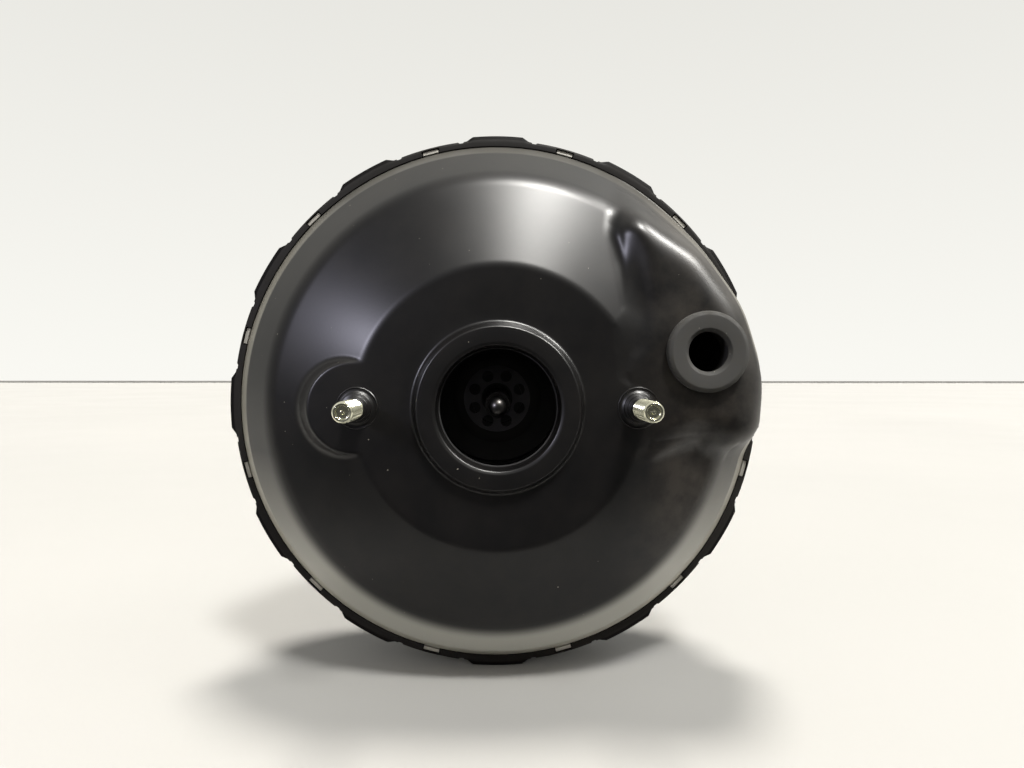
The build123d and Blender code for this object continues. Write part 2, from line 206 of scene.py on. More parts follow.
def lay_over(material, socket, share, value):
    """Mix a value over what feeds the shader's Base Color or Roughness; a share of 1 hides it."""
    tree = material.node_tree
    shader = tree.nodes["Principled BSDF"]
    under = shader.inputs[socket].links[0].from_socket
    if socket == "Base Color":
        mixed = add(tree, "Mix", {0: share, 6: under, 7: value}, data_type="RGBA").outputs[2]
    else:
        mixed = add(tree, "Mix", {0: share, 2: under, 3: value}).outputs[0]
    tree.links.new(mixed, shader.inputs[socket])


# semi-gloss: a soft, wide highlight; the grain breaks it up as paint over pressed steel does
coat = finish("black_ecoat_on_pressed_steel", ("#080709", "#0b0a0b"), (0.33, 0.36), (0.9, 0.006), ior=1.4)
print(coat.name, len(coat.node_tree.nodes), "nodes")

# %% [markdown]
# The two shells are dipped in a black electrophoretic coat about 20 micrometres thick. It is
# smooth but not mirror-like, with a fine orange peel, and it has gathered the dust of a shelf.
# Thousands of small meshes could be the specks. Cells of a Voronoi pattern that pass a random test
# look the same and weigh nothing. The thin veil of dust on the vacuum port's side is a cloud
# pattern that fades out towards the middle.

# %% Dust on a finish
DUST_ROUGH, CLOUD = 0.9, 22


def dusty(material, cell, size, share, code="#8d897f"):
    """Add pale dust specks, one at most in each cell of so many millimetres, to a finish."""
    tree = material.node_tree
    place = add(tree, "TexCoord").outputs["Object"]
    spots = add(tree, "TexVoronoi", {"Vector": place, "Scale": per_mm(cell)})
    chance = add(tree, "SeparateColor", {0: spots.outputs["Color"]})
    keep = add(tree, "Math", {0: chance.outputs[0], 1: share}, operation="LESS_THAN")
    reach = add(tree, "Math", {0: chance.outputs[1], 1: size / cell}, operation="MULTIPLY")
    near = add(tree, "Math", {0: spots.outputs["Distance"], 1: reach.outputs[0]}, operation="LESS_THAN")
    speck = add(tree, "Math", {0: near.outputs[0], 1: keep.outputs[0]}, operation="MULTIPLY").outputs[0]
    lay_over(material, "Base Color", speck, colour(code))
    lay_over(material, "Roughness", speck, DUST_ROUGH)
    return material


def film(material, start, end, share, code):
    """A thin veil of dust that grows along X from start to end, in millimetres, in soft clouds."""
    tree = material.node_tree
    place = add(tree, "TexCoord").outputs["Object"]
    across = add(tree, "SeparateXYZ", {0: place}).outputs[0]
    along = add(tree, "MapRange", {0: across, 1: start * MM, 2: end * MM, 3: 0.05, 4: share},
                interpolation_type="SMOOTHSTEP")
    clouds = add(tree, "TexNoise", {"Vector": place, "Scale": per_mm(CLOUD), "Detail": 6, "Roughness": 0.65})
    cloud = add(tree, "MapRange", {0: clouds.outputs["Fac"], 1: 0.35, 2: 0.65})
    veil = add(tree, "Math", {0: along.outputs[0], 1: cloud.outputs[0]}, operation="MULTIPLY")
    lay_over(material, "Base Color", veil.outputs[0], colour(code))
    return material


coat = film(coat, 45, 85, 0.45, "#57514a")
print("with its veil of dust the coat has", len(coat.node_tree.nodes), "nodes")

# %% [markdown]
# Next to the rim the coat is scuffed to a rougher satin, where the can has stood and been rolled. Its
# pale grey there, strongest low down, is a painted reflection of the bright table, and the pale line
# along the outermost edge, also palest low down, is a painted sheen of the steep wall. A painted mask
# would do, but both follow the radius and the height, so two ramps of those draw them without painting.

# %% Wear and painted sheen on a finish
# the radii and colour of the pale line along the outermost edge: a painted sheen of the steep wall there
SHEEN_EDGE, EDGE_SHEEN = (109.0, 110.2), "#a3a095"


def wear_and_painted_sheen(material, inner, outer, code, rough):
    """Make a finish rougher from one radius round the Y axis to another, and paint it paler there, more so
    low down, as a painted reflection of the bright table; its outermost edge gets a painted sheen.
    """
    tree = material.node_tree
    place = add(tree, "SeparateXYZ", {0: add(tree, "TexCoord").outputs["Object"]})
    height = place.outputs[2]
    flat = add(tree, "CombineXYZ", {0: place.outputs[0], 2: height})
    radius = add(tree, "VectorMath", {0: flat.outputs[0]}, operation="LENGTH").outputs["Value"]
    band_wear_and_sheen = add(tree, "MapRange", {0: radius, 1: inner * MM, 2: outer * MM}, interpolation_type="SMOOTHSTEP")
    # the paler grey, strongest low down, is a painted reflection of the bright table under the band
    low = add(tree, "MapRange", {0: height, 1: -70 * MM, 2: -20 * MM, 3: 1.0, 4: 0.03})
    share = add(tree, "Math", {0: band_wear_and_sheen.outputs[0], 1: low.outputs[0]}, operation="MULTIPLY")
    lay_over(material, "Base Color", share.outputs[0], colour(code))
    lay_over(material, "Roughness", band_wear_and_sheen.outputs[0], rough)
    # painted sheen: the steep outer wall is drawn as a pale line, palest low down
    at_edge = add(tree, "MapRange", {0: radius, 1: SHEEN_EDGE[0] * MM, 2: SHEEN_EDGE[1] * MM})
    low = add(tree, "MapRange", {0: height, 1: -10 * MM, 2: 90 * MM, 3: 1.0, 4: 0.12})
    share = add(tree, "Math", {0: at_edge.outputs[0], 1: low.outputs[0]}, operation="MULTIPLY")
    lay_over(material, "Base Color", share.outputs[0], colour(EDGE_SHEEN))
    return material


# a9a8a0 on the band from 93 to 101 mm is a painted reflection of the bright table; the roughness 0.42 is the
# scuffed coat
shell_coat = dusty(wear_and_painted_sheen(coat, 93, 101, "#a9a8a0", 0.42), 4, 0.28, 0.25)
# the rear shell is duller: handling and the crimping rolls have taken the gloss off its coat
rim_coat = finish("dull_black_ecoat", ("#090808", "#110e0d"), (0.55, 0.7), (0.7, 0.01), specular=0.06)
dusty(rim_coat, 5, 0.35, 0.12)
# where the rolls have worn the coat through to primer, it is a flat brownish grey
primer = finish("worn_dark_primer", ("#141210", "#1f1c19"), (0.65, 0.8), (0.5, 0.01), 9, specular=0.15)
# the locking tabs were bent after coating, so they show bare zinc gone dull and whitish
tab_steel = finish("bare_zinc_grey_tab", ("#b9b6ad", "#8f8c84"), (0.5, 0.65), (0.5, 0.004), 4)
print(shell_coat.name, len(shell_coat.node_tree.nodes), "nodes")

# %% [markdown]
# The other finishes follow the record's material slots: bright zinc plate on what is bolted,
# phosphate on hidden pressings, rubber, moulded phenolic, nylon, foam and felt. Metals have a
# metallic of 1 and the default IOR; phosphated wire has less, for its crystals are not metal. Each
# could be a graph of its own, but made by one function they can be compared line by line.

# %% The other finishes
grommet_rubber = finish("dusty_rubber", ("#131211", "#403e38"), (0.7, 0.95), (0.35, 0.02), 4)
finishes = {
    "shell_coating": shell_coat,
    # bright zinc plate: a pale metal, smooth, slightly yellow from its passivation
    "zinc_plated_steel": finish("bright_zinc_plate", ("#dedcc4", "#cfceb9"), (0.16, 0.26), (0.4, 0.002),
                                6, 1.0),
    # turned steel under a thin oil: dark, with a clear but soft reflection
    "bare_steel": finish("turned_steel_oiled", ("#4f4d4c", "#403e3d"), (0.28, 0.38), (0.3, 0.003), 5, 1.0),
    # drawn and phosphated wire: a grey satin that is brightest along the wire's ridge
    "spring_steel": finish("phosphated_spring_wire", ("#4a494b", "#3a393a"), (0.35, 0.5), (0.5, 0.004),
                           8, 0.8),
    # phosphate crystals on a pressing: a dark, even, nearly matte grey
    "phosphated_steel": finish("grey_phosphate_on_steel", ("#3b3a3b", "#2c2b2c"), (0.5, 0.65), (0.5, 0.006),
                               14),
    # moulded rubber that has lain about: matte, with grey blooms and fine pale dust in its pores
    "grommet_rubber": dusty(grommet_rubber, 1.6, 0.3, 0.3, "#77736a"),
    # fresh moulded rubber: black with the faint gloss of its polished mould
    "seal_rubber": finish("moulded_rubber", ("#141414", "#1d1c1b"), (0.45, 0.6), (0.8, 0.02), 15),
    # rubber pressed into cloth: the weave shows as a fine roughness
    "diaphragm_rubber": finish("fabric_backed_rubber", ("#1a1a1a", "#222121"), (0.6, 0.75), (0.6, 0.05), 15),
    # glass-filled phenolic from a hard steel mould: brown-black with a hard, low gloss
    "phenolic": finish("moulded_phenolic", ("#1d1917", "#272220"), (0.35, 0.5), (0.6, 0.006), 12),
    # a grey engineering plastic, moulded: even and waxy
    "pale_polymer": finish("moulded_grey_polymer", ("#69666e", "#5c5a62"), (0.4, 0.55), (0.8, 0.01), 12),
    # natural nylon: milky white, polished a little where it slides
    "bearing_polymer": finish("natural_nylon", ("#d9d4c6", "#c9c3b4"), (0.35, 0.5), (0.8, 0.01), 12),
    # cut open-cell foam: no gloss at all, with deep dark pores of about 0.7 mm
    "filter_foam": finish("open_cell_foam", ("#1c1c1c", "#3c3c3b"), (0.9, 1.0), (0.7, 0.5), 2),
    # pressed wool felt: matte and mottled by its fibres
    "felt": finish("pressed_wool_felt", ("#8c8375", "#756c60"), (0.9, 1.0), (0.4, 0.2), 4),
}
slots = {part["node"]: part["material_slot"] for part in frame["record"]["subparts"]}
for name, node in nodes.items():
    node.data.materials.clear()
    node.data.materials.append(finishes[slots[name]])
print(len(finishes), "finishes on", len(slots), "nodes")

# %% [markdown]
# The front shell is deep-drawn from 1.5 mm sheet, and its forms run into each other in soft bends.
# Booleans and bevels tear on such bends, so it is made as one surface: for each place the drawing
# says how far a point is outside of the form, in millimetres, and the skin lies where that is zero.
# Forms are joined with a smooth minimum, which leaves a fillet, and cut with a smooth maximum.

# %% Joining distances
def ramp(value, start, end):
    """0 up to start and 1 from end on, with a straight rise between them."""
    return np.clip((value - start) / (end - start), 0, 1)


def smooth_min(a, b, width):
    """The smaller of two distances with a fillet where they meet, and the share that a has in it."""
    share = np.clip(0.5 + 0.5 * (b - a) / width, 0, 1)
    return b + (a - b) * share - width * share * (1 - share), share


def smooth_max(a, b, width):
    """The larger of two distances, with a fillet where they meet."""
    return -smooth_min(-a, -b, width)[0]


def outline_distance(x, z, outline):
    """How far each point is outside of a closed outline; negative inside."""
    nearest = np.full(np.shape(x), 1e9)
    inside = np.zeros(np.shape(x), bool)
    for (x0, z0), (x1, z1) in zip(outline, np.roll(outline, -1, 0)):
        dx, dz = x1 - x0, z1 - z0
        t = np.clip(((x - x0) * dx + (z - z0) * dz) / (dx * dx + dz * dz + 1e-12), 0, 1)
        nearest = np.minimum(nearest, np.hypot(x - x0 - t * dx, z - z0 - t * dz))
        crosses = (z0 > z) != (z1 > z)
        inside ^= crosses & (x < x0 + (z - z0) * dx / (dz if abs(dz) > 1e-12 else 1e-12))
    return np.where(inside, -nearest, nearest)


print("1 mm from two forms, a 4 mm fillet is", float(smooth_min(1.0, 1.0, 4.0)[0]), "mm away")

# %% [markdown]
# Seen from the front, the shell has a round flank, a raised pad for the vacuum port, whose walls
# lean more or less, and a cone under each stud. Sculpting could give these forms too, but then none
# of them would have a measure. Here each keeps its own radius, slope and width of fillet.

# %% The plan of the front shell
# the flank runs outwards from the plateau's edge at radius 57.2 over the shoulder to the flange
FLANGE_R, FLANGE_Y = 114.6, 42.3
flank_corners = [(40, -6.5), (57.2, 0), (95.3, 14.5), (109.4, 31), (114.5, 40.3), (FLANGE_R, 44)]
flank = rounded(flank_corners, [0, 18, 3, 1], 3)
flank_slope = np.gradient(flank[:, 1]) / np.maximum(np.gradient(flank[:, 0]), 1e-3)
flank_cos = 1 / np.hypot(1, flank_slope)
# the pad's outline starts at its inner corner, goes up its left side and comes down outside
pad_corners = [(44, 14), (48, 26), (53, 27.5), (56.5, 40), (55.5, 60), (51, 80),
               (80.5, 61.5), (98, 39), (106.5, 12), (104.5, -17), (81, -8.3), (59.5, -18)]
pad_plan = closed(pad_corners, [2, 4, 3, 12, 25, 14, 30, 40, 45, 14, 12, 2], 6)
# where the pad's crease starts, its direction, and how far the part beyond it leans back at most
CREASE_X, CREASE_Z, CREASE_COS, CREASE_SIN = 56.5, 27.7, 0.807, 0.591
FACET_DEEP, FACET_WIDE = 2.4, 12
BOSS_X, BOSS_R, BOSS_LEAN = 57.6, 18.2, radians(31)


def plan_of(x, z):
    """What depends on the place across the shell only, and not on the depth."""
    radius = np.hypot(x, z)
    pad = outline_distance(x, z, pad_plan)
    # the pad's upper left part leans back from a crease that starts at its inner corner and dies out
    across = (z - CREASE_Z) * CREASE_COS - (x - CREASE_X) * CREASE_SIN
    along = np.maximum((x - CREASE_X) * CREASE_COS + (z - CREASE_Z) * CREASE_SIN, 0)
    lean = (across + np.hypot(across, 0.4 + 0.35 * along)) / 2
    facet = FACET_DEEP * (1 - np.exp(-lean / FACET_WIDE)) * ramp(radius, 60, 67) * ramp(x, 50, 56)
    # the pad's walls lean by a fifth of their depth, a little more at the left and outside, and
    # most below; the fillet along their foot is widest at the left
    left = ramp(x, 68, 56) * ramp(z, 20, 32)
    outer_side = ramp(radius, 88, 98)
    lower = ramp(z, -5, -10) * ramp(radius, 100, 88)
    slope = 0.2 + 0.1 * left + 0.15 * outer_side + 0.45 * lower
    foot = 4.0 + 4.0 * left
    bosses = np.hypot(x - BOSS_X, z), np.hypot(x + BOSS_X, z)
    return radius, pad, facet, bosses, slope, foot


print("pad outline", len(pad_plan), "points, flank", len(flank))

# %% [markdown]
# The distances of the flank, the pad's wall and the two cones are joined, and the flat plateau cuts
# off what is in front of it. Solving that for the depth by hand would be long. Halving is short:
# the skin is between two depths, and each round keeps the half in which inside turns to outside.

# %% From the plan to a depth
PAD_INSET = 0.3  # how far the wall's top is inside the pad's outline
BOSS_FILLET, PLATEAU_EDGE, PAD_EDGE = 1.4, 0.6, 9.0  # widths of fillets
SEARCH_FRONT, SEARCH_BACK, HALVINGS = -8.0, 46.0, 26


def outside(plan, y):
    """Distance outside of the drawn form at depth y."""
    radius, pad, facet, bosses, slope, foot = plan
    side = (np.interp(radius, flank[:, 0], flank[:, 1]) - y) * np.interp(radius, flank[:, 0], flank_cos)
    wall = (pad + PAD_INSET - slope * y) / np.hypot(1, slope)
    body, flank_share = smooth_min(side, wall, foot)
    for reach in bosses:
        cone = (reach - BOSS_R - tan(BOSS_LEAN) * y) * cos(BOSS_LEAN)
        body = smooth_min(body, cone, BOSS_FILLET)[0]
    # the plateau's edge is tight along the flank and soft on the pad
    return smooth_max(body, facet - y, PLATEAU_EDGE + PAD_EDGE * (1 - flank_share))


def depth_of(x, z):
    """The depth of the skin under each point, by halving."""
    plan = plan_of(x, z)
    front, back = np.full(x.shape, SEARCH_FRONT), np.full(x.shape, SEARCH_BACK)
    for _ in range(HALVINGS):
        middle = (front + back) / 2
        out = outside(plan, middle) > 0
        front, back = np.where(out, middle, front), np.where(out, back, middle)
    return (front + back) / 2


print("depth 95 mm below the axis", round(float(depth_of(np.zeros(1), np.full(1, -95.0))[0]), 2), "mm")

# %% [markdown]
# The shell's grid has rings at each radius and spokes round the axis. An even grid fine enough for
# the walls of the port pad and the stud bosses would be very large. So the spokes are closest where
# these are, and the rings are closest next to the rim, where the flank is steep.

# %% The front shell's skin
def spokes(*parts):
    """Angles from several (start, end, step) stretches, in degrees."""
    return np.radians(np.concatenate([np.arange(*part) for part in parts]))


turn = spokes((-20, 62, 0.4), (62, 158, 1.2), (158, 202, 0.5), (202, 340, 1.2))[:, None]
rings = np.concatenate([np.arange(38.5, 107, 0.55), np.arange(107, 114.5, 0.2)])[None, :]
x, z = rings * np.cos(turn), rings * np.sin(turn)
y = depth_of(x, z)
# the pad's upper part is drawn softly: its depth is averaged with that of its neighbours
ROUNDS, SIDE = 3, 3
SPAN = 2 * SIDE + 1
soft = ramp(x, 50, 55) * ramp(z, 14, 22)
for _ in range(ROUNDS):
    near = sum(np.roll(y, k, 0) for k in range(-SIDE, SIDE + 1)) / SPAN
    wide = np.pad(near, ((0, 0), (SIDE, SIDE)), "edge")
    near = sum(wide[:, k:k + y.shape[1]] for k in range(SPAN)) / SPAN
    y = y + soft * (near - y)
shell = np.stack([x, y, z], -1)
print("grid", shell.shape, "with its last ring at depth", round(float(y.max()), 1))

# %% [markdown]
# Inside the grid is the rolled lip of the pilot hole with its raised collar, and outside of it the
# wall drops straight to the flange. Both are plain turned forms and could be pieces of their own,
# but a seam would show. So their outlines are set at every spoke and joined to the grid.

# %% Lip, wall and flange
def band(outline):
    """The same outline of (radius, depth) at every spoke of the shell."""
    radius, depth = np.asarray(outline, float).T
    return np.stack([radius * np.cos(turn), np.broadcast_to(depth, (len(turn), len(depth))),
                     radius * np.sin(turn)], -1)


lip = rounded([(23.9, 5), (24.2, -1.6), (24.9, -3.5), (26.2, -4), (32.4, -4), (34.4, 0), (38.2, 0)],
              [0.8, 0.8, 1.2, 1.0, 1.6], 12)
edge = y[:, -1:]
share = np.array([[0.2, 0.5, 0.8]])
ring = np.full((len(turn), share.size), FLANGE_R)
drop = np.stack([ring * np.cos(turn), edge + (FLANGE_Y - 0.7 - edge) * share, ring * np.sin(turn)], -1)
bend = [(FLANGE_R, FLANGE_Y - 0.6), (FLANGE_R, FLANGE_Y), (FLANGE_R + 1.6, FLANGE_Y)]
flange = band(rounded(bend, [0.4], 20))
outer = np.concatenate([band(lip), shell, drop, flange], 1)
print("outer skin", outer.shape)

# %% [markdown]
# The sheet's inside follows 1.5 mm behind, as a press gives it. The Solidify modifier would make it
# too, but as dense as the outside. Here it follows the grid's own normals on every fifth ring only,
# because nearly all of it is hidden. The port's hole is cut last, by taking out faces.

# %% Give the shell its thickness
SHEET, INNER_STEP = 1.5, 5
PORT_X, PORT_Z, PORT_HOLE_R = 83.0, 22.4, 11.0


def grid_normals(points):
    """Unit normals of a grid that loops along its rows."""
    along = np.roll(points, -1, 0) - np.roll(points, 1, 0)
    across = np.gradient(points, axis=1)
    normal = np.cross(along, across)
    return normal / np.maximum(np.linalg.norm(normal, axis=2, keepdims=True), 1e-9)


normals = grid_normals(outer)
if normals[..., 1].mean() > 0:  # the outside faces forwards, along -Y
    normals = -normals
last = outer.shape[1] - 1
keep = np.r_[0:last:INNER_STEP, last]
inner = (outer - SHEET * normals)[:, keep][:, ::-1]
front_shell = skin("front_shell_pressing", np.concatenate([outer, inner], 1), finishes["shell_coating"])
mesh = front_shell.data
centres = np.array([face.center for face in mesh.polygons]) / MM
in_port = np.hypot(centres[:, 0] - PORT_X, centres[:, 2] - PORT_Z) < PORT_HOLE_R
work = bmesh.new()
work.from_mesh(mesh)
work.faces.ensure_lookup_table()
bmesh.ops.delete(work, geom=[work.faces[i] for i in np.flatnonzero(in_port)], context="FACES")
bmesh.ops.recalc_face_normals(work, faces=work.faces)
work.to_mesh(mesh)
work.free()
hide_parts("front_shell")
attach(front_shell, "housing")
print("front shell", len(mesh.vertices), "points,", int(in_port.sum()), "faces cut for the port")

# %% [markdown]
# The rear shell's rim is rolled over the front shell's flange. Twelve lugs are pressed outwards in
# it, and between each two lugs is a small window where a locking tab was pushed in. Cutting and
# adding boxes would leave sharp seams, so the turned grid itself is pushed out and in.

# %% The rear shell and its rim
# a lug's and a window's half width are in degrees
LUGS, LUG_HIGH, LUG_HALF, RING_R = 12, 1.7, 6.8, 118.3
NICK_DEEP, WINDOW_DEEP, WINDOW_HALF = 0.6, 2.6, 1.95
outside_line = [(115.0, 40.5), (RING_R, 40.6), (RING_R, 52), (109, 52), (105, 86), (88, 101), (63, 101),
                (58, 112), (30, 112), (30, 138)]
inside_line = [(26, 138), (26, 136.4), (28.4, 136.4), (28.4, 110.4), (57, 110.4), (62, 99.4), (87.5, 99.4),
               (103.4, 85), (107.6, 50.4), (116.7, 50.4), (116.7, 42.1), (115.0, 42.1)]
rear = closed(outside_line + inside_line, [0.3, 1.5, 2.5, 3, 12, 9, 3, 3, 3, 2,
                                           0.3, 0.3, 1, 1.5, 4.5, 4.5, 8, 10, 1.5, 1, 0.8, 0.3])
# long straight stretches get a point about every 1.2 mm too, so that they can be pushed
rear = np.concatenate([np.linspace(a, b, max(2, int(np.hypot(*(b - a)) / 1.2) + 1))[:-1]
                       for a, b in zip(rear, np.roll(rear, -1, 0))])
around = spin(rear, 1080)
angle = np.degrees(np.arctan2(around[..., 2], around[..., 0]))
radius, depth = np.hypot(around[..., 0], around[..., 2]), around[..., 1]
spacing = 360 / LUGS
off = np.abs((angle + spacing / 2) % spacing - spacing / 2)  # degrees from the middle of the nearest lug
off_window = spacing / 2 - off
# each lug stands proud between slanted ends, with a small nick beside either end
proud = ramp(off, LUG_HALF, LUG_HALF - 1.45) * ramp(depth, 40.5, 41.4) * ramp(depth, 51.4, 50.2)
nick = NICK_DEEP * (np.abs(off - LUG_HALF - 1.1) < 0.45) * (depth < 46) * (radius > 117.6)
lift = (radius > 115.4) * (depth < 51.6) * LUG_HIGH * proud - nick
around[..., 0] *= 1 + lift / radius
around[..., 2] *= 1 + lift / radius
# the locking tabs leave windows in the rolled edge
sunk = (off_window < WINDOW_HALF) & (radius > 114.6) & (radius < 117.3) & (depth < 42.6)
around[..., 1] += WINDOW_DEEP * sunk
rear_shell = skin("rear_shell_pressing", around, rim_coat, sharp=50)
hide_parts("rear_shell")
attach(rear_shell, "housing")
# the rolls ran on the front of the rim, so the faces there show the primer
rear_mesh = rear_shell.data
rear_mesh.materials.append(primer)
spots = np.array([face.center for face in rear_mesh.polygons]) / MM
rolled = (spots[:, 1] < 41.3) & (np.hypot(spots[:, 0], spots[:, 2]) < 118.1)
rear_mesh.polygons.foreach_set("material_index", rolled.astype(np.int32))
print("rear shell", len(rear_mesh.vertices), "points,", int(rolled.sum()), "faces of worn primer")

# %% [markdown]
# In each window sits the tab that was pushed in to lock the two shells: a small bent plate whose
# coat cracked off, so it shows pale. An Array modifier could repeat one tab. Here a loop writes all
# twelve into one mesh, because they are one sheet's edge and never move apart.

# %% Locking tabs
TAB_WIDE, TAB_SOFT = 7.2, 0.2
tab_corners = [(115.4, 41.0), (117.2, 41.7), (117.2, 43.4), (115.4, 43.2)]
points, faces = [], []
for turned_by in np.radians(np.arange(spacing / 2, 360, spacing)):
    c, s = cos(turned_by), sin(turned_by)
    first = len(points)
    points += [(r * c - side * s, d, r * s + side * c)
               for side in (-TAB_WIDE / 2, TAB_WIDE / 2) for r, d in tab_corners]
    faces += [(first, first + 1, first + 2, first + 3), (first + 7, first + 6, first + 5, first + 4)]
    faces += [(first + i, first + 4 + i, first + 4 + (i + 1) % 4, first + (i + 1) % 4) for i in range(4)]
mesh = bpy.data.meshes.new("locking_tabs")
mesh.from_pydata((np.array(points) * MM).tolist(), [], faces)
mesh.materials.append(tab_steel)
tabs = new_object("locking_tabs", mesh)
soft_edges = tabs.modifiers.new("soft edges", "BEVEL")
soft_edges.width, soft_edges.segments = TAB_SOFT * MM, 2
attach(tabs, "housing")
print("tabs", len(tabs.data.polygons), "faces")

# %% [markdown]
# The master cylinder is held by two M8 studs, rolled from zinc-plated bar. A thread is a ridge that
# climbs one pitch a turn. A helix swept and joined to a bar needs clean-up where the two meet, so
# here the radius of one grid follows the angle and the depth together.

# %% Helpers for threads and turned pieces
THREAD_DEPTH = 0.61  # a metric thread's depth as a share of its pitch
POINTS_A_PITCH = 8


def thread(start, end, radius, pitch, steps=40, taper=1.2):
    """The grid of a threaded bar from one depth to another, tapered where the thread starts."""
    deep = THREAD_DEPTH * pitch
    depth = np.arange(start, end + 1e-6, pitch / POINTS_A_PITCH)[None, :]
    turn = np.linspace(0, 2 * pi, steps, endpoint=False)[:, None]
    phase = (depth / pitch - turn / (2 * pi)) % 1
    groove = np.clip(1.35 * np.abs(phase - 0.5) * 2 - 0.15, 0, 1)
    reach = np.minimum(radius - deep * groove, radius - deep + np.minimum(depth - start, end - depth) * taper)
    return np.stack([reach * np.cos(turn), np.broadcast_to(depth, reach.shape), reach * np.sin(turn)], -1)


def threaded(name, start, end, radius, pitch, place, body):
    """A threaded bar of zinc-plated steel along Y, at a place across the booster."""
    grid = thread(start, end, radius, pitch)
    grid[..., 0] += place[0]
    grid[..., 2] += place[1]
    piece = skin(name, grid, finishes["zinc_plated_steel"], (True, False), 60)
    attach(piece, body)
    return piece


def turned(name, outline, slot_name, body, node=None, place=(0, 0), steps=96, sharp=35):
    """A piece turned from a closed outline, with its finish, its body and the node it stands for."""
    piece = skin(name, spin(outline, steps, place), finishes[slot_name], sharp=sharp)
    if node:
        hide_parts(node)
    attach(piece, body)
    return piece


print("an M8 thread of 10 mm is a grid of", thread(0, 10, 4.0, 1.25).shape)

# %% [markdown]
# Each stud has a pointed end with a shallow turned recess and a centre mark in it. At its root is a
# low collar that is riveted into the shell and coated with it. One mesh could have two finishes,
# but three pieces, thread, end and neck, are simpler, and the finish changes where they meet.

# %% Master cylinder studs
STUD_X, STUD_TIP, M8_R, M8_PITCH = 56.0, -28.7, 4.0, 1.25
end_corners = [(0.01, 0.5), (0.6, 0.5), (0.9, 1.2), (2.3, 1.2), (2.6, 0.1), (3.3, 0), (3.9, 0.8), (3.3, 1.6),
               (0.01, 1.6)]
stud_end = closed([(r, STUD_TIP + behind) for r, behind in end_corners], 0.1)
neck_corners = [(0.01, -7.6), (3.6, -7.6), (3.8, -7.0), (3.8, -4.4), (4.9, -4.0), (4.9, -2.4), (6.0, -2.0),
                (6.0, -0.7), (6.9, -0.2), (7.7, -0.1), (8.1, -0.4), (8.5, 0.0), (8.5, 0.4), (0.01, 0.4)]
stud_neck = closed(neck_corners, 0.2)
for side, x0 in (("left", -STUD_X), ("right", STUD_X)):
    threaded(f"stud_thread_{side}", STUD_TIP + 1.1, -7.4, M8_R, M8_PITCH, (x0, 0), "housing")
    end = turned(f"stud_end_{side}", stud_end, "zinc_plated_steel", "housing", place=(x0, 0))
    turned(f"stud_neck_{side}", stud_neck, "shell_coating", "housing", place=(x0, 0))
    if side == "left":
        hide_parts("master_cylinder_studs")
print("stud outlines", len(stud_end), len(stud_neck), "points")

# %% [markdown]
# The vacuum grommet is moulded rubber: a flat flange outside the sheet, a groove for the hole's
# edge and a tapered inside end. Its mouth has a wide, soft chamfer, where the check valve's nozzle
# is pushed in. Rings could be stacked to make it, but one turned outline has no seams to hide.

# %% Vacuum grommet
grommet = closed([(9.6, 0), (7.9, -2.0), (7.9, -3.2), (9.3, -4.6), (14.6, -4.8), (16.2, -3.9), (16.2, -0.2),
                  (11.5, -0.1), (11.5, 1.6), (14, 1.7), (13.4, 5), (11, 12), (9.6, 12)],
                 [0.5, 0.4, 0.5, 0.7, 1.4, 1.2, 0.4, 0, 0, 0.8, 1, 0.4, 0.4], 9)
turned("vacuum_grommet_moulding", grommet, "grommet_rubber", "housing", "vacuum_grommet",
       (PORT_X, PORT_Z), 128, 60)
print("grommet outline", len(grommet), "points")

# %% [markdown]
# The springs are wound from round wire with closed ends, where the coils lie on each other. A curve
# with a round bevel could be the wire. A ring of points along its centre line gives a mesh at once.
# The line climbs slowly over the end coils and fast between.

# %% Springs
CLOSED_TURNS, CLOSED_RISE = 0.8, 2.1  # turns of each closed end, and its rise a turn in wire radii
TURN_STEPS, WIRE_STEPS, SMOOTH = 60, 14, 7


def spring(name, node, mean, wire, start, end, active):
    """A spring of a mean radius and a wire radius, wound from the depth start to the depth end."""
    slow = CLOSED_RISE * wire
    fast = (end - start - 2 * wire - 2 * CLOSED_TURNS * slow) / active
    turns = np.linspace(0, active + 2 * CLOSED_TURNS, int(TURN_STEPS * (active + 2)))
    knots = [0, CLOSED_TURNS, CLOSED_TURNS + active, active + 2 * CLOSED_TURNS]
    heights = np.cumsum([start + wire, CLOSED_TURNS * slow, active * fast, CLOSED_TURNS * slow])
    height = np.interp(turns, knots, heights)
    height = np.convolve(np.pad(height, SMOOTH, "edge"), np.ones(2 * SMOOTH + 1) / (2 * SMOOTH + 1), "valid")
    size = np.full(len(turns), wire)
    size[[0, -1]] = 0.01  # closes the wire's two ends
    ring = np.linspace(0, 2 * pi, WIRE_STEPS, endpoint=False)[None, :]
    reach = mean + size[:, None] * np.cos(ring)
    depth = height[:, None] + size[:, None] * np.sin(ring)
    angle = 2 * pi * turns[:, None]
    piece = skin(name, np.stack([reach * np.cos(angle), depth, reach * np.sin(angle)], -1),
                 finishes["spring_steel"], (False, True), 60)
    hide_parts(node)
    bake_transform(piece)
    return piece


long_spring = spring("return_spring_wire", "return_spring", 34, 2.0, 5.2, 91.4, 4.7)
# its end stays half a millimetre short of the washer, which tilts with the rod
short_spring = spring("input_rod_spring_wire", "input_rod_spring", 10.6, 0.95, 138.2, 149.5, 2.2)
print("springs", len(long_spring.data.vertices), len(short_spring.data.vertices), "points")

# %% [markdown]
# The diaphragm and the dust boot are thin moulded rubber that joins the housing to the piston. A
# cloth simulation could fold them, but their moulds fix the folds. So both are turned from a drawn section.

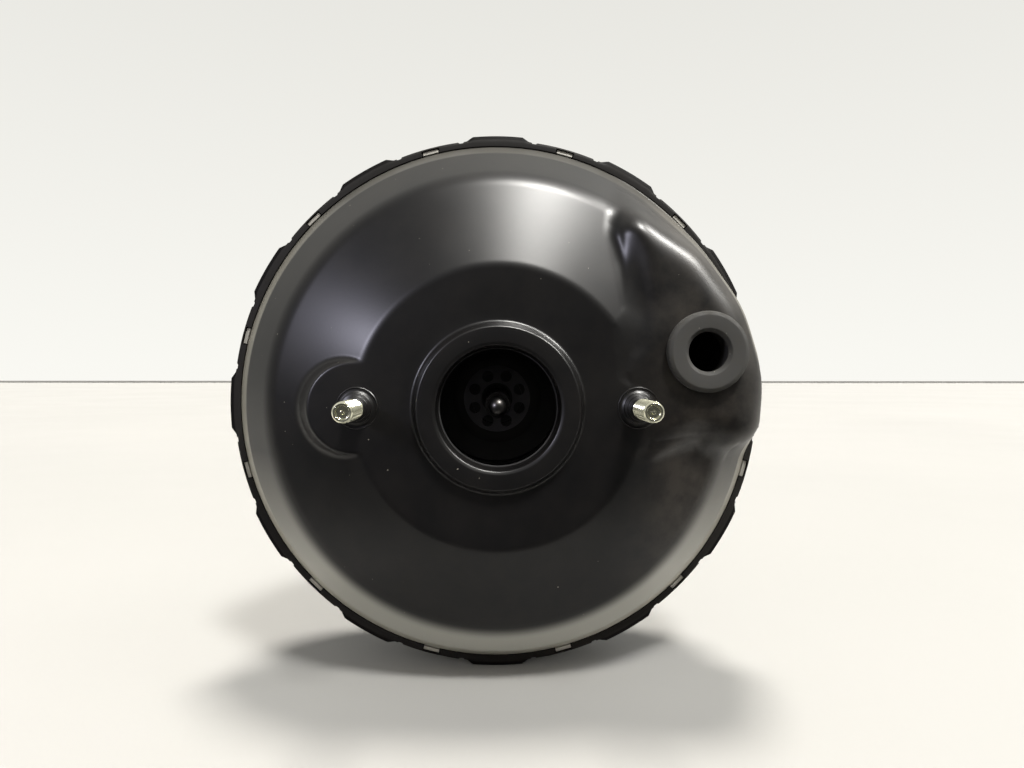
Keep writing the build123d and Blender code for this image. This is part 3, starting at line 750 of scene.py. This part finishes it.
# %% Diaphragm and dust boot
def sheet_section(corners, radii, thick, step=14):
    """A closed outline round a bent sheet: the drawn side, then the other side on the way back."""
    line = rounded(corners, radii, step)
    along = np.gradient(line, axis=0)
    along /= np.linalg.norm(along, axis=1, keepdims=True)
    other = line + thick * np.stack([along[:, 1], -along[:, 0]], -1)
    return np.vstack([line, other[::-1]])


def rubber(name, node, outline, slot_name, steps):
    """A turned rubber piece made from a drawn section, in place of its imported node."""
    piece = skin(name, spin(outline, steps), finishes[slot_name], sharp=50)
    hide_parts(node)
    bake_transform(piece)
    return piece


web_corners = [(24, 94.6), (88.3, 94.6), (100.4, 84.4), (104, 48.2), (111, 48.2), (111, 44.2), (115.8, 44.2)]
web = sheet_section(web_corners, [9, 9, 3, 1.5, 1], -1.9)
rubber("diaphragm_moulding", "diaphragm", web, "diaphragm_rubber", 180)
FOLDS, FOLD_PITCH, NARROWING = 5, 8.2, 1.1
boot_corners = [(30.1, 115.4), (32.8, 115.4), (32.8, 119.2), (30.8, 119.8)]
for fold in range(FOLDS):
    start, inwards = FOLD_PITCH * fold, NARROWING * fold
    boot_corners += [(37.0 - inwards, 123 + start), (31.2 - inwards, 127 + start)]
boot_corners += [(27.0, 161), (27.0, 169.2), (9.2, 170)]
bellows = sheet_section(boot_corners, [0.6, 0.6, 1] + [1.1] * 2 * FOLDS + [1, 1.5], -1.2, 18)
rubber("dust_boot_moulding", "dust_boot", bellows, "seal_rubber", 120)
print("rubber outlines", len(web), len(bellows), "points")

# %% [markdown]
# The pedal's push rod is a turned bar with a ball at its front end and a thread that the lock nut
# and the fork screw onto. The four firewall studs are threaded like the front ones. The helpers of
# the front studs make them all, so a thread looks the same wherever it is.

# %% Push rod and firewall studs
BALL_R, BALL_Y, FIREWALL_HALF = 5.0, 115, 32
ball = [(BALL_R * sin(a), BALL_Y - BALL_R * cos(a)) for a in np.linspace(0.01, 2.27, 16)]
rod_corners = [(3.8, 118.3), (3.8, 124), (5, 125.4), (5, 170), (4.4, 171), (0.01, 171)]
shank = ball + [tuple(p) for p in rounded(rod_corners, [0.5, 0.5, 0.3, 0.2], 15)]
turned("push_rod_shank", shank, "zinc_plated_steel", "input_rod", "input_push_rod")
threaded("push_rod_thread", 170, 206, 4.9, 1.5, (0, 0), "input_rod")
firewall_neck = closed([(0.01, 104.9), (7, 104.9), (7, 108.2), (4.2, 108.4), (4.2, 113), (3.6, 114),
                        (3.6, 116.6), (0.01, 116.6)], 0.3)
firewall_tip = closed([(0.01, 134.4), (3.5, 134.4), (3.5, 135), (3.1, 136), (0.01, 136)], 0.1)
halves = (-FIREWALL_HALF, FIREWALL_HALF)
for index, place in enumerate([(x0, z0) for x0 in halves for z0 in halves]):
    threaded(f"firewall_thread_{index}", 116, 136, M8_R, M8_PITCH, place, "housing")
    base = turned(f"firewall_stud_{index}", firewall_neck, "zinc_plated_steel", "housing", None, place, 48)
    turned(f"firewall_tip_{index}", firewall_tip, "zinc_plated_steel", "housing", None, place, 48)
    if index == 0:
        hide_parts("firewall_studs")
print("rod outline", len(shank), "points, studs at", halves)

# %% [markdown]
# Pressed and milled pieces keep their imported form, but no press or mill leaves an edge that sharp.
# A Bevel modifier rounds them, and only where two faces meet at an angle, so that the imported mesh
# below it stays as it is.

# %% Soft edges on imported pieces
BROKEN_EDGE = 0.35
crisp = ("clevis", "lock_nut", "stop_key", "diaphragm_plate", "rear_reinforcement_plate", "spring_washer")
for name in crisp:
    soft_edges = nodes[name].modifiers.new("soft edges", "BEVEL")
    soft_edges.width, soft_edges.segments, soft_edges.limit_method = BROKEN_EDGE * MM, 2, "ANGLE"
print("soft edges on", len(crisp), "pieces")

# %% [markdown]
# The booster stands on its rim on a white table that runs far back under a pale room. The table
# ends just in front of the view, so that the flat plateau mirrors a dim room and stays black. A
# curved backdrop in one piece is usual, but the straight edge far back gives a level horizon.

# %% Table and painted corner shade
FLOOR, TABLE_FRONT, FAR, SIDE_REACH, CORNER_SHADE_HIGH = -0.120, -0.062, 5.7, 9, 0.016


def plane(name, corners, codes):
    """A painted face with four corners in metres."""
    mesh = bpy.data.meshes.new(name)
    mesh.from_pydata(corners, [], [(0, 1, 2, 3)])
    mesh.materials.append(finish(name + "_paint", codes, (0.6, 0.8), (1.5, 0.01), 400))
    piece = new_object(name, mesh)
    return piece


plane("table", [(-SIDE_REACH, TABLE_FRONT, FLOOR), (SIDE_REACH, TABLE_FRONT, FLOOR),
                (SIDE_REACH, FAR, FLOOR), (-SIDE_REACH, FAR, FLOOR)], ("#a1a19f", "#a3a2a0"))
# a grey strip along the table's far edge is painted shade: it draws the dark line of the corner where table
# meets wall
top = FLOOR + CORNER_SHADE_HIGH
plane("corner_shade_strip", [(-SIDE_REACH, FAR, FLOOR), (SIDE_REACH, FAR, FLOOR), (SIDE_REACH, FAR, top),
                   (-SIDE_REACH, FAR, top)], ("#8a8a88", "#8c8b89"))
print("the table is", round(FAR - TABLE_FRONT, 2), "m deep")

# %% [markdown]
# One lamp shines from above and in front, one from above and behind, and the room gives back a
# little. Distant lamps light every part alike, as a bright ceiling does. Two bulbs and a cool
# window at the left are only mirrored: they draw the sheen of the coat and light nothing else. In
# a real studio one lamp would do both jobs, but here each can be set by itself.

# %% Lamps
CEILING = (0.2106, -0.4547, 0.8653)  # towards the ceiling lamp


def sky(name, way, spread, strength, code):
    """A distant lamp as wide as a bright ceiling, that shines from the given direction."""
    data = bpy.data.lights.new(name, "SUN")
    data.angle, data.energy, data.color = radians(spread), strength, colour(code)[:3]
    piece = new_object(name, data)
    piece.rotation_euler = (-Vector(way)).to_track_quat("-Z", "Y").to_euler()
    return piece


def lamp(name, place, size, power, code):
    """A square lamp at a place in metres that faces the booster."""
    data = bpy.data.lights.new(name, "AREA")
    data.shape, data.size, data.energy = "SQUARE", size, power
    data.color = colour(code)[:3]
    piece = new_object(name, data)
    piece.location = place
    piece.rotation_euler = (-Vector(place)).to_track_quat("-Z", "Y").to_euler()
    return piece


sky("ceiling_lamp", CEILING, 11, 2.7, "#fffdf8")
# two bare bulbs are only mirrored: one draws the sheen on the upper face, one the pad's outer edge
sky("bulb", CEILING, 14, 5.1, "#fffdf8").visible_diffuse = False
sky("side_bulb", (0.64, -0.2, 0.74), 16, 6.0, "#fffdf8").visible_diffuse = False
# from above and behind comes the light that throws the shadow forwards; the coat doesn't mirror it
sky("ceiling_fill", (0.05, 0.19, 0.98), 14, 4.3, "#fffaf2").visible_glossy = False
# the coat doesn't mirror the light from the near part of the room either
sky("room_light", (-0.1, -0.85, 0.5), 60, 0.9, "#fffaf2").visible_glossy = False
lamp("window", (-0.279, -0.248, 0.129), 0.05, 1.0, "#e4e3f6").visible_diffuse = False
print("lamps", len(bpy.data.lights))

# %% [markdown]
# The room itself is the world: a bright pale wall for the camera, and a dimmer room for whatever
# mirrors it or is lit by it. An environment texture could stand here, but three ramps of the
# direction give the same calm shades and need no file.

# %% The room
world = bpy.data.worlds.new("room")
bpy.context.scene.world = world
world.use_nodes = True
tree = world.node_tree
ray = add(tree, "LightPath")
way = add(tree, "SeparateXYZ", {0: add(tree, "TexCoord").outputs["Generated"]})
# behind the camera the room is dim, which keeps the plateau black
dim = add(tree, "MapRange", {0: way.outputs[1], 1: -0.8, 2: 0.2, 3: 0.16, 4: 0.95})
# and the walls are darker than the ceiling
low = add(tree, "MapRange", {0: way.outputs[2], 1: 0.05, 2: 0.6, 3: 0.5, 4: 0.86})
dim = add(tree, "Math", {0: dim.outputs[0], 1: low.outputs[0]}, operation="MULTIPLY")
# the matte surfaces get less of it than the mirroring ones, which keeps the shadows crisp
soft = add(tree, "MapRange", {0: ray.outputs["Is Diffuse Ray"], 3: 1.0, 4: 0.7})
dim = add(tree, "Math", {0: dim.outputs[0], 1: soft.outputs[0]}, operation="MULTIPLY")
# the camera sees a wall that is palest at the horizon
pale = add(tree, "MapRange", {0: way.outputs[2], 1: 0.0, 2: 0.45, 3: 0.97, 4: 0.82})
seen = add(tree, "Mix", {0: ray.outputs["Is Camera Ray"], 2: dim.outputs[0], 3: pale.outputs[0]})
back = tree.nodes["Background"]
tree.links.new(seen.outputs[0], back.inputs["Strength"])
back.inputs["Color"].default_value = colour("#fdfcf6")
print("the room has", len(tree.nodes), "nodes")

# %% [markdown]
# The camera stands close in front, a little to the left and above the axis, and looks almost
# straight along it, so the near studs and the pad's wall show how deep the booster is. A long lens
# from far away would flatten them. Its direction is set as a matrix, which leaves no roll to guess.

# %% Camera
CAMERA_PLACE, CAMERA_LENS = (-2.234, -293.577, 16.673), 26.016  # both in millimetres
look, up = Vector((0.026037, 0.999367, -0.024259)), Vector((-0.0004, 0.024278, 0.999705))
right = look.cross(up).normalized()
camera = new_object("camera", bpy.data.cameras.new("camera"))
camera.matrix_world = Matrix((right, right.cross(look), -look)).transposed().to_4x4()
camera.location = Vector(CAMERA_PLACE) * MM
camera.data.sensor_width, camera.data.lens = 36, CAMERA_LENS
camera.data.clip_start, camera.data.clip_end = 0.01, 30
bpy.context.scene.camera = camera
bpy.context.scene.view_settings.view_transform = "Standard"
print("camera at", [round(v, 4) for v in camera.location])
